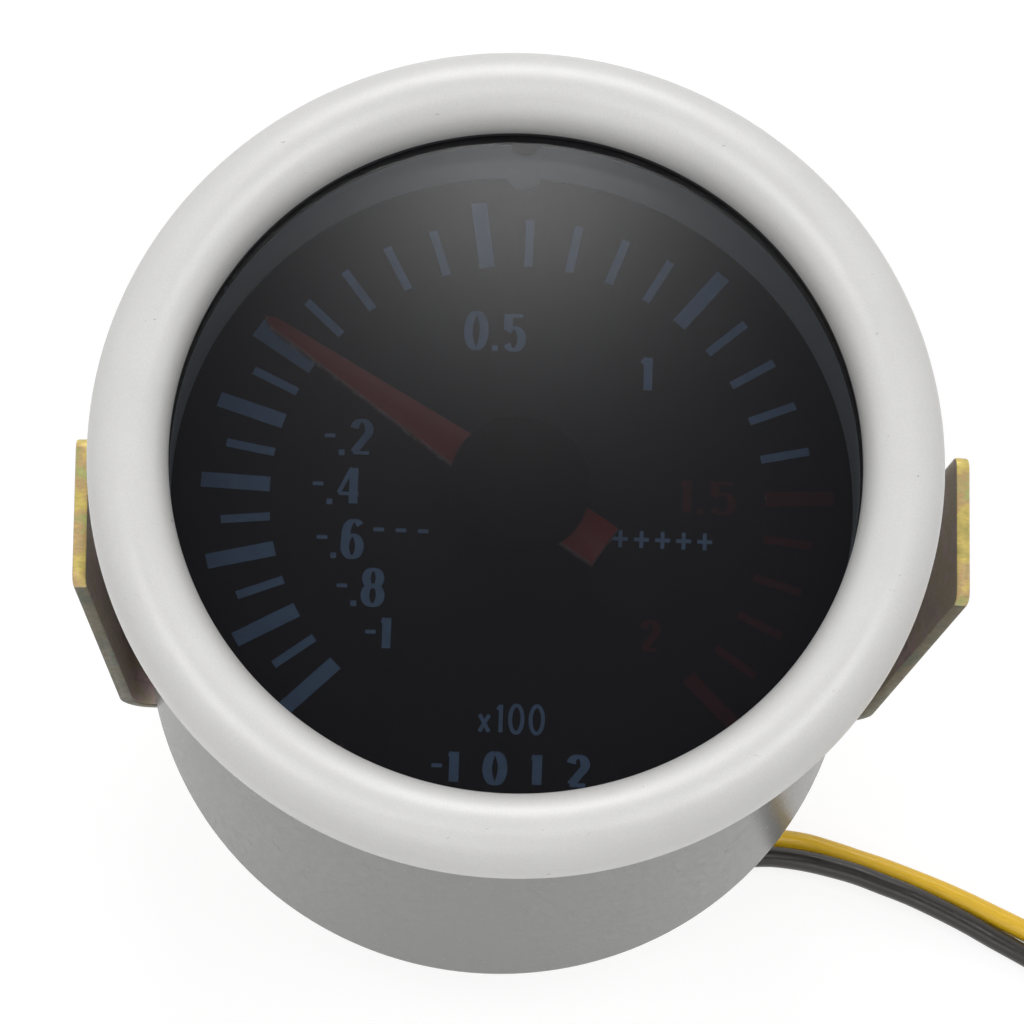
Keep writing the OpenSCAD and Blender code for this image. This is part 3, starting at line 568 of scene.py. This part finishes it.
def bars(name, material, marks, z):
    """Flat radial bars: (angle, inner radius, outer radius, width)."""
    verts, faces = [], []
    for angle, r1, r2, w in marks:
        a = math.radians(angle)
        out, side = Vector((math.cos(a), math.sin(a), 0)), Vector((-math.sin(a), math.cos(a), 0))
        base = len(verts)
        for top in (z, z + PRINT_T):
            for r, s in ((r1, -1), (r2, -1), (r2, 1), (r1, 1)):
                verts.append((out * r + side * s * w / 2 + Vector((MOVEMENT_X, 0, top))) * MM)
        faces += [tuple(base + k for k in f) for f in (
            (3, 2, 1, 0), (4, 5, 6, 7), (0, 1, 5, 4), (1, 2, 6, 5), (2, 3, 7, 6), (3, 0, 4, 7))]
    return piece(name, verts, faces, material, smooth=False)


def oval(cx, cy, rx, ry, start=90, turn=360, steps=24):
    return [(cx + rx * math.cos(math.radians(start + turn * i / steps)),
             cy + ry * math.sin(math.radians(start + turn * i / steps))) for i in range(steps + 1)]


# Each glyph is its share of a digit's width and its strokes, in a box from (0, 0) to (1, 1).
# A stroke that starts with a number is drawn with that share of the pen.
GLYPHS = {
    "0": (1, [oval(0.5, 0.5, 0.5, 0.5)]),
    "1": (0.5, [[(0.7, 0), (0.7, 1)], [(0.6, 0.97), (0, 0.8)]]),
    "2": (1, [oval(0.5, 0.72, 0.46, 0.28, 170, -190, 14) + [(0.04, 0.05)], [(0, 0.04), (1, 0.04)]]),
    "4": (1, [[(0.8, 0), (0.8, 1)], [0.5, (0.66, 1), (-0.16, 0.28)], [(-0.15, 0.27), (1.15, 0.27)]]),
    "5": (1, [[(1, 0.96), (0.1, 0.96)], [(0.1, 1), (0.08, 0.55)],
              oval(0.46, 0.31, 0.5, 0.31, 140, -290, 16)]),
    "6": (1, [oval(0.5, 0.3, 0.5, 0.3), [(0.02, 0.36)] + oval(0.6, 0.62, 0.56, 0.38, 165, -120, 10)]),
    "8": (1, [oval(0.5, 0.76, 0.44, 0.24), oval(0.5, 0.28, 0.5, 0.28)]),
    "x": (0.9, [[(0.05, 0), (0.95, 0.62)], [(0.05, 0.62), (0.95, 0)]]),
    "+": (0.9, [[(-0.1, 0.5), (1.1, 0.5)], [(0.5, 0.1), (0.5, 0.9)]]),
    " ": (0.5, [])}
DASH_W = 0.75
DASH_T = 0.28
DASH_UP_SHARE = 0.02
DOT_W = 0.42


def stroke(path, w, h, z):
    """A ribbon along the path, as wide as an oval pen leaves it: w across and h upwards."""
    verts, faces = [], []
    for i, (x, y) in enumerate(path):
        (x0, y0), (x1, y1) = path[max(i - 1, 0)], path[min(i + 1, len(path) - 1)]
        if path[0] == path[-1] and i in (0, len(path) - 1):
            (x0, y0), (x1, y1) = path[-2], path[1]
        n = Vector((y0 - y1, x1 - x0, 0)).normalized()
        half = n * math.hypot(w * n.x, h * n.y)
        verts += [(Vector((x, y, z)) + half) * MM, (Vector((x, y, z)) - half) * MM]
    for i in range(len(path) - 1):
        faces.append((2 * i + 1, 2 * i + 3, 2 * i + 2, 2 * i))
    return verts, faces


def block(cx, cy, w, h, z):
    """A small rectangle of ink: a dash or a dot."""
    return [mm(cx + sx * w / 2, cy + sy * h / 2, z) for sx, sy in ((-1, -1), (1, -1), (1, 1), (-1, 1))]


def label(name, text, x, y, w, h, material, pen, gap):
    """Numbers centred on (x, y) in a box w by h; dashes and dots keep their own widths."""
    fixed = {"-": DASH_W, ".": DOT_W}
    rest = sum(GLYPHS[c][0] for c in text if c not in fixed) + gap * (len(text) - 1)
    unit = (w - sum(fixed.get(c, 0) for c in text)) / rest
    left = x - w / 2
    verts, faces = [], []
    height = Z_DIAL + PRINT_T
    for c in text:
        width = fixed[c] if c in fixed else GLYPHS[c][0] * unit
        if c in fixed:
            cy = y + DASH_UP_SHARE * h if c == "-" else y - h / 2 + DOT_W / 2
            faces.append(tuple(len(verts) + k for k in range(4)))
            verts += block(left + width / 2, cy, width, DASH_T if c == "-" else DOT_W, height)
        else:
            in_x, in_y = width - 2 * pen[0], h - 2 * pen[1]
            for path in GLYPHS[c][1]:
                thin = 1 if hasattr(path[0], "__len__") else path[0]
                line = [(left + pen[0] + in_x * u, y - h / 2 + pen[1] + in_y * v)
                        for u, v in (path if thin == 1 else path[1:])]
                v, f = stroke(line, pen[0] * thin, pen[1], height)
                faces += [tuple(k + len(verts) for k in face) for face in f]
                verts += v
                height += LAYER_T
        left += width + gap * unit
    return piece(name, verts, faces, material, smooth=False)


# Labels: name, text, centre, size and whether it is red
LABELS = [
    ("vacuum_2", "-.2", -11.71, 4.29, 3.5, 2.76, False),
    ("vacuum_4", "-.4", -12.46, 0.68, 3.43, 2.9, False),
    ("vacuum_6", "-.6", -12.06, -3.27, 3.36, 2.96, False),
    ("vacuum_8", "-.8", -10.48, -6.79, 3.42, 2.88, False),
    ("vacuum_1", "-1", -9.1, -10.1, 1.9, 2.5, False),
    ("boost_05", "0.5", -1.6, 12.62, 4.49, 2.93, False),
    ("boost_1", "1", 9.27, 9.9, 1.15, 2.7, False),
    ("boost_15", "1.5", 13.9, 0.88, 4.2, 2.6, True),
    ("boost_2", "2", 10.08, -9.57, 1.6, 2.43, True)]
SIGNS = [
    ("minus_signs", "- - -", -7.79, -2.53, 3.9, 2.07),
    ("plus_signs", "+++++", 10.76, -2.45, 7.16, 1.85),
    ("multiplier", "x100", 0.46, -16.03, 4.79, 2.3)]
RANGE = ("range", "-1 0 1 2", 0.58, -19.68, 11.2, 2.48)


def print_ink(name, colour):
    s = Shader(name, specular=0.4)
    s.colour(varied(s, colour, 1.2, 0.08))
    s.roughness(s.ramp(s.noise(4, 3), (0.3, 0.5), (0.7, 0.62)))
    return s.material


def make_print():
    blue, red = print_ink("blue_ink", (0.24, 0.4, 0.68)), print_ink("red_ink", (0.1, 0.01, 0.01))
    marks = {False: [], True: []}
    for tenth in range(-10, 21):
        major = tenth in MAJOR_TENTHS
        width = MARK_ZERO_W if tenth == 0 else MARK_MAJOR_W if major else MARK_W
        marks[tenth >= RED_FROM_TENTH].append((mark_angle(tenth / 10), MARK_IN,
                                               MARK_LONG if major else MARK_SHORT, width))
    bars("marks_blue", blue, marks[False], Z_DIAL)
    bars("marks_red", red, marks[True], Z_DIAL)
    for name, text, x, y, w, h, is_red in LABELS:
        label(f"number_{name}", text, x, y, w, h, red if is_red else blue, NUMBER_PEN, NUMBER_GAP)
    for name, text, x, y, w, h in SIGNS:
        label(name, text, x, y, w, h, blue, SIGN_PEN, SIGN_GAP)
    label(*RANGE, blue, RANGE_PEN, RANGE_GAP)


make_print()


# Pointer: a clear plastic blade under red foil
BLADE_UP = 0.5


def make_pointer():
    clear = simple("pointer_sides", (0.62, 0.42, 0.4), 0.25, grain=4)
    foil = simple("red_pointer", (0.32, 0.022, 0.02), 0.35, grain=5, coat=0.2)
    obj = dress("pointer", clear, "needle", bevel=0.06)
    obj.data.materials.append(foil)
    for face in obj.data.polygons:
        if face.normal.z > BLADE_UP:
            face.material_index = 1
    cap = simple("cap_plastic", (0.0035, 0.0035, 0.004), 0.75, grain=6, specular=0.1)
    dress("pointer_cap", cap, "needle", bevel=0.05)


make_pointer()


# Bracket: a bent strip of yellow-passivated steel, its holes punched
STRIP_T = 1
STRIP_W = 11
ARM_REACH = 31.4
LEAN_LEFT = 3.05
LEAN_RIGHT = 4.85
SIDE_GAP = 1.1
BEND_R = 1.5
BRACKET_TURN = math.radians(1.2)
STRIP_HOLE_R = 2.3
STRIP_CUT_OVER = 3
STRIP_EDGE_R = 0.14
END_ROUND_R = 0.9
END_EDGES_H = 2
END_FACES_H = 1.2
# Tints of the one finish: the ends' bright gold copy is painted light, the sides' dark olive copy is
# painted shade, and the mauve tints go on the broad faces.
ZINC_GOLD_PAINTED_LIGHT = ((0.55, 0.45, 0.13), (0.78, 0.62, 0.17), (0.64, 0.43, 0.2), (0.52, 0.56, 0.2),
             (0.74, 0.54, 0.2))
ZINC_OLIVE_PAINTED_SHADE = ((0.08, 0.075, 0.035), (0.11, 0.095, 0.045), (0.14, 0.11, 0.05), (0.07, 0.08, 0.04),
              (0.1, 0.075, 0.045))
ZINC_MAUVE = ((0.42, 0.34, 0.29), (0.52, 0.41, 0.38), (0.45, 0.39, 0.27), (0.55, 0.41, 0.41),
              (0.18, 0.17, 0.12))


def yellow_zinc(name, tints, metal=0.35, specular=0.6):
    """Passivated zinc: its tints drift with the film's thickness; the bracket's end and side copies
    also carry painted light and painted shade in their tints.
    """
    s = Shader(name, metal=metal, specular=specular)
    film = s.ramp(s.noise(0.3, 3, 0.6, (1, 1, 0.5)), *zip((0.3, 0.42, 0.52, 0.62, 0.72), tints))
    rub = s.ramp(s.noise(2.4, 4, 0.8, (1, 3, 1)), (0.3, 0.75), (0.7, 1.1))
    s.colour(s.mix(1.0, film, rub, "MULTIPLY"))
    s.roughness(s.ramp(s.noise(1.2, 5, 0.7), (0.3, 0.3), (0.7, 0.5)))
    s.bump((s.noise(0.5, 3), 0.02), (s.noise(5, 3, 0.7, (1, 3, 0.4)), 0.015))
    return s.material


def strip_line(lean, r, z, steps=8):
    """One side of the strip's edge, from the middle of the base round the bend and up the arm."""
    a = math.atan(lean / (ARM_REACH - BEND_R))
    length = (ARM_REACH - BEND_R) / math.cos(a)
    cx, cz = CASE_R + SIDE_GAP - BEND_R, Z_CASE + BEND_R
    arc = corner(cx, cz, r, -90, steps, 90 - math.degrees(a))
    end = arc[-1]
    return [(0, z)] + arc + [(end[0] + length * math.sin(a), end[1] + length * math.cos(a))]


def make_bracket():
    out_l, out_r = (strip_line(lean, BEND_R + STRIP_T, Z_CASE - STRIP_T)
                    for lean in (LEAN_LEFT, LEAN_RIGHT))
    in_l, in_r = (strip_line(lean, BEND_R, Z_CASE) for lean in (LEAN_LEFT, LEAN_RIGHT))
    line = [(-x, z) for x, z in reversed(out_l[1:])] + out_r
    line += list(reversed(in_r)) + [(-x, z) for x, z in in_l[1:]]
    bm = bmesh.new()
    front = [bm.verts.new(mm(x, -STRIP_W / 2, z)) for x, z in line]
    back = [bm.verts.new(mm(x, STRIP_W / 2, z)) for x, z in line]
    bm.faces.new(front)
    bm.faces.new(list(reversed(back)))
    for i in range(len(line)):
        j = (i + 1) % len(line)
        bm.faces.new((front[j], front[i], back[i], back[j]))
    across = [e for e in bm.edges if abs(e.verts[0].co.y - e.verts[1].co.y) < 1e-6
              and min(v.co.z for v in e.verts) > (Z_CASE + ARM_REACH - END_EDGES_H) * MM
              and e.calc_length() < 2 * STRIP_T * MM]
    bmesh.ops.bevel(bm, geom=across, offset=END_ROUND_R * MM, segments=5, profile=0.5,
                    affect="EDGES")
    bmesh.ops.recalc_face_normals(bm, faces=bm.faces)
    mesh = bpy.data.meshes.new("bracket_strip")
    bm.to_mesh(mesh)
    bm.free()
    obj = finish_piece("bracket_strip", mesh, yellow_zinc("yellow_zinc", ZINC_MAUVE), "clamp")
    cut_holes(obj, [((STUD_X, 0), STRIP_HOLE_R), ((-STUD_X, 0), STRIP_HOLE_R)],
              Z_CASE - STRIP_CUT_OVER, Z_CASE + STRIP_CUT_OVER)
    round_edges(obj, STRIP_EDGE_R)
    # Painted light on the end faces and painted shade on the sides, as lighter and darker copies of
    # the finish.
    obj.data.materials.append(yellow_zinc("zinc_ends_painted_light", ZINC_GOLD_PAINTED_LIGHT))
    obj.data.materials.append(yellow_zinc("zinc_sides_painted_shade", ZINC_OLIVE_PAINTED_SHADE, 0.1, 0.2))
    for face in obj.data.polygons:
        at_end = face.center.z > (Z_CASE + ARM_REACH - END_FACES_H) * MM
        if at_end and abs(face.normal.x) < 0.8:
            face.material_index = 1
        elif abs(face.normal.y) > 0.4:
            face.material_index = 2
    obj.data.transform(Matrix.Rotation(BRACKET_TURN, 4, "Z"))
    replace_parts(obj, "bracket")


def round_edges(obj, r, angle=40):
    bm = bmesh.new()
    bm.from_mesh(obj.data)
    bmesh.ops.dissolve_limit(bm, angle_limit=math.radians(FLAT_DEG), verts=bm.verts,
                             edges=bm.edges)
    sharp = [e for e in bm.edges if len(e.link_faces) == 2
             and e.calc_face_angle(0) > math.radians(angle)]
    bmesh.ops.bevel(bm, geom=sharp, offset=r * MM, segments=2, profile=0.5, affect="EDGES",
                    clamp_overlap=True)
    bm.to_mesh(obj.data)
    bm.free()
    obj.data.shade_smooth()
    obj.data.set_sharp_from_angle(angle=math.radians(30))


make_bracket()


# Studs with rolled threads, their washers and nuts
STUD_R = 2
THREAD_PITCH = 0.7
THREAD_DEPTH = 0.36
FLANK_SHARES = (1.3, 0.15)
END_DEPTH_SHARE = 0.9
HEAD_R = 4
HEAD_T = 1
HEAD_EDGE_R = 0.2


def threaded(name, x, y, r, pitch, depth, z1, z2, material, rows=8, sides=48):
    """A threaded rod: the surface rises and falls along a right-hand helix, and fades at its ends."""
    verts, faces = [], []
    count = round((z2 - z1) / pitch * rows)
    for i in range(count + 1):
        z = z1 + (z2 - z1) * i / count
        end = min(1, (z - z1) / pitch, (z2 - z) / pitch)
        for k in range(sides):
            phase = (z / pitch - k / sides) % 1
            groove = min(1, max(0, FLANK_SHARES[0] * abs(2 * phase - 1) - FLANK_SHARES[1]))
            radius = r - depth * (groove * end + (1 - end) * END_DEPTH_SHARE)
            verts.append(mm(x + radius * math.cos(TAU * k / sides),
                            y + radius * math.sin(TAU * k / sides), z))
    for i in range(count):
        for k in range(sides):
            a, b = i * sides + k, i * sides + (k + 1) % sides
            faces.append((a, b, b + sides, a + sides))
    faces += [tuple(reversed(range(sides))), tuple(range(count * sides, (count + 1) * sides))]
    return piece(name, verts, faces, material, angle=50)


def make_fixings():
    zinc = simple("steel", (0.56, 0.56, 0.56), 0.32, metal=1, grain=9, per_mm=0.8)
    for name, x in (("stud_left", -STUD_X), ("stud_right", STUD_X)):
        obj = threaded(name, x, 0, STUD_R, THREAD_PITCH, THREAD_DEPTH, 0, Z_CASE + WALL, zinc)
    head = lathe("stud_head_left", stud_head(), zinc, centre=(-STUD_X, 0), segments=64)
    lathe("stud_head_right", stud_head(), zinc, centre=(STUD_X, 0), segments=64)
    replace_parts(head, "studs")
    dress("lock_washers", zinc, "clamp", bevel=0.06)
    plate = simple("nickel", (0.6, 0.56, 0.42), 0.28, metal=1, grain=9, per_mm=0.5)
    for side in ("left", "right"):
        dress(f"nut_{side}", plate, f"{side}_nut", bevel=0.1)


def stud_head():
    z = Z_CASE + WALL
    return [(0, z), (HEAD_R, z),
            *corner(HEAD_R - HEAD_EDGE_R, z + HEAD_T - HEAD_EDGE_R, HEAD_EDGE_R, 0, 3),
            (0, z + HEAD_T)]


make_fixings()


# Pressure port, lamp and the pieces inside the case
def make_fittings():
    rubber, brass = bpy.data.materials["black_rubber"], machined("brass", (0.72, 0.5, 0.2))
    steel = bpy.data.materials["steel"]
    bronze = machined("bronze", (0.62, 0.34, 0.17))
    dress("pressure_socket", brass, bevel=0.08)
    dress("stem_washer", rubber, bevel=0.1)
    dress("stem_nut", bpy.data.materials["nickel"], bevel=0.14)
    ivory = simple("holder_plastic", (0.74, 0.71, 0.62), 0.42, grain=4, subsurface=0.05)
    dress("lamp_holder", ivory, bevel=0.12)
    dress("holder_seal", rubber, bevel=0.1)
    dress("wire_grommet", rubber, bevel=0.3, segments=3)
    dress("wire_tie", simple("black_plastic", (0.014, 0.014, 0.015), 0.38), bevel=0.08)
    glass = Shader("clear_glass", rough=0.04, alpha=0.3)
    glass.colour(varied(glass, (0.85, 0.88, 0.9), 0.3, 0.04))
    dress("lamp_bulb", glass.material, bevel=0)
    dress("lamp_contacts", brass, bevel=0.04)
    dress("inner_housing", simple("white_plastic", (0.75, 0.75, 0.73), 0.5), bevel=0.1)
    dress("bourdon_tube", bronze, bevel=0.05)
    for node in ("lower_plate", "upper_plate", "pillars", "hairspring_stud"):
        dress(node, brass, bevel=0.06)
    dress("plate_screws", steel, bevel=0.05)
    dress("sector_gear", brass, "sector", bevel=0.02)
    dress("sector_arbor", steel, "sector", bevel=0.04)
    dress("link_rivet", steel, "sector", bevel=0.04)
    dress("link", brass, "link_arm", bevel=0.05)
    dress("spindle", steel, "needle", bevel=0.04)
    dress("pinion", brass, "needle", bevel=0.02)
    dress("spring_collet", brass, "needle", bevel=0.04)
    dress("hairspring", bronze, bevel=0)


def machined(name, colour):
    s = Shader(name, metal=1)
    s.colour(varied(s, colour, 0.5, 0.08))
    s.roughness(s.ramp(s.noise(1.5, 5, 0.7), (0.3, 0.22), (0.7, 0.4)))
    s.bump((s.noise(3, 2, 0.5, (1, 1, 6)), 0.004))
    return s.material


make_fittings()


# Floor and light, in metres and watts; the glow is the soft reflection in the lens
FLOOR_HALF = 1.5
PAPER_GREY = 0.9
PAPER_SEEN_GREY = 0.24
PAPER_SEEN_GLOW = 0.84
EVEN_LIGHT = 0.24
OVERHEAD_GREY = 0.12
OVERHEAD_RAMP = (0.55, 0.85)
LIGHTS_AIM = (0, 0, 0.05)
LIGHTS = [
    ("left_box", (-0.42, -0.15, 1.0), 0.45, 2.9),
    ("right_box", (0.42, -0.1, 1.0), 0.45, 2.6),
    ("back_box", (0, 0.95, 0.8), 0.6, 5),
    ("front_box", (-0.15, -0.8, 0.75), 0.5, 1.3),
    ("glow", (0.02, 0.393, 1.1), 0.04, 0.095)]


def seen_directly(tree):
    """1 for rays from the camera, or by way of a glossy or clear surface."""
    path = tree.nodes.new("ShaderNodeLightPath")
    total = path.outputs["Is Camera Ray"]
    for name in ("Is Glossy Ray", "Is Transmission Ray"):
        top = tree.nodes.new("ShaderNodeMath")
        top.operation = "MAXIMUM"
        tree.links.new(total, top.inputs[0])
        tree.links.new(path.outputs[name], top.inputs[1])
        total = top.outputs[0]
    return total


def switched(tree, shader_a, shader_b, output):
    mix = tree.nodes.new("ShaderNodeMixShader")
    tree.links.new(seen_directly(tree), mix.inputs["Fac"])
    tree.links.new(shader_a.outputs[0], mix.inputs[1])
    tree.links.new(shader_b.outputs[0], mix.inputs[2])
    tree.links.new(mix.outputs[0], output.inputs["Surface"])


def floor_paper():
    """Pale paper; seen directly it is nearly white by itself, and keeps a light shadow."""
    material = bpy.data.materials.new("floor_paper")
    material.use_nodes = True
    tree = material.node_tree
    tree.nodes.remove(tree.nodes["Principled BSDF"])
    paper, thin = (tree.nodes.new("ShaderNodeBsdfDiffuse") for _ in range(2))
    paper.inputs["Color"].default_value = (PAPER_GREY, PAPER_GREY, PAPER_GREY, 1)
    thin.inputs["Color"].default_value = (PAPER_SEEN_GREY, PAPER_SEEN_GREY, PAPER_SEEN_GREY, 1)
    white = tree.nodes.new("ShaderNodeEmission")
    white.inputs["Strength"].default_value = PAPER_SEEN_GLOW
    both = tree.nodes.new("ShaderNodeAddShader")
    tree.links.new(thin.outputs[0], both.inputs[0])
    tree.links.new(white.outputs[0], both.inputs[1])
    switched(tree, paper, both, tree.nodes["Material Output"])
    return material


def area(name, at, size, watts):
    data = bpy.data.lights.new(name, "AREA")
    data.energy, data.size = watts, size
    light = bpy.data.objects.new(name, data)
    bpy.context.scene.collection.objects.link(light)
    light.location = Vector(at)
    light.rotation_mode = "QUATERNION"
    light.rotation_quaternion = (Vector(LIGHTS_AIM) - Vector(at)).to_track_quat("-Z", "Y")


def studio_world():
    """Even light for matt surfaces; seen directly, white all round and dim overhead."""
    world = bpy.data.worlds.new("world")
    bpy.context.scene.world = world
    world.use_nodes = True
    tree = world.node_tree
    even = tree.nodes["Background"]
    even.inputs["Color"].default_value = (1, 1, 1, 1)
    even.inputs["Strength"].default_value = EVEN_LIGHT
    backdrop = tree.nodes.new("ShaderNodeBackground")
    backdrop.inputs["Strength"].default_value = 1
    place = tree.nodes.new("ShaderNodeTexCoord")
    split = tree.nodes.new("ShaderNodeSeparateXYZ")
    ramp = tree.nodes.new("ShaderNodeValToRGB")
    low, high = ramp.color_ramp.elements
    low.position, high.position = OVERHEAD_RAMP
    low.color = (1, 1, 1, 1)
    high.color = (OVERHEAD_GREY, OVERHEAD_GREY, OVERHEAD_GREY, 1)
    tree.links.new(place.outputs["Generated"], split.inputs[0])
    tree.links.new(split.outputs["Z"], ramp.inputs["Fac"])
    tree.links.new(ramp.outputs["Color"], backdrop.inputs["Color"])
    switched(tree, even, backdrop, tree.nodes["World Output"])


def make_stage():
    mesh = bpy.data.meshes.new("floor")
    h = FLOOR_HALF
    mesh.from_pydata([(-h, -h, 0), (h, -h, 0), (h, h, 0), (-h, h, 0)], [], [(0, 1, 2, 3)])
    floor = bpy.data.objects.new("floor", mesh)
    mesh.materials.append(floor_paper())
    bpy.context.scene.collection.objects.link(floor)
    studio_world()
    for light in LIGHTS:
        area(*light)
    bpy.context.scene.view_settings.view_transform = "Standard"


make_stage()

bpy.context.view_layer.update()
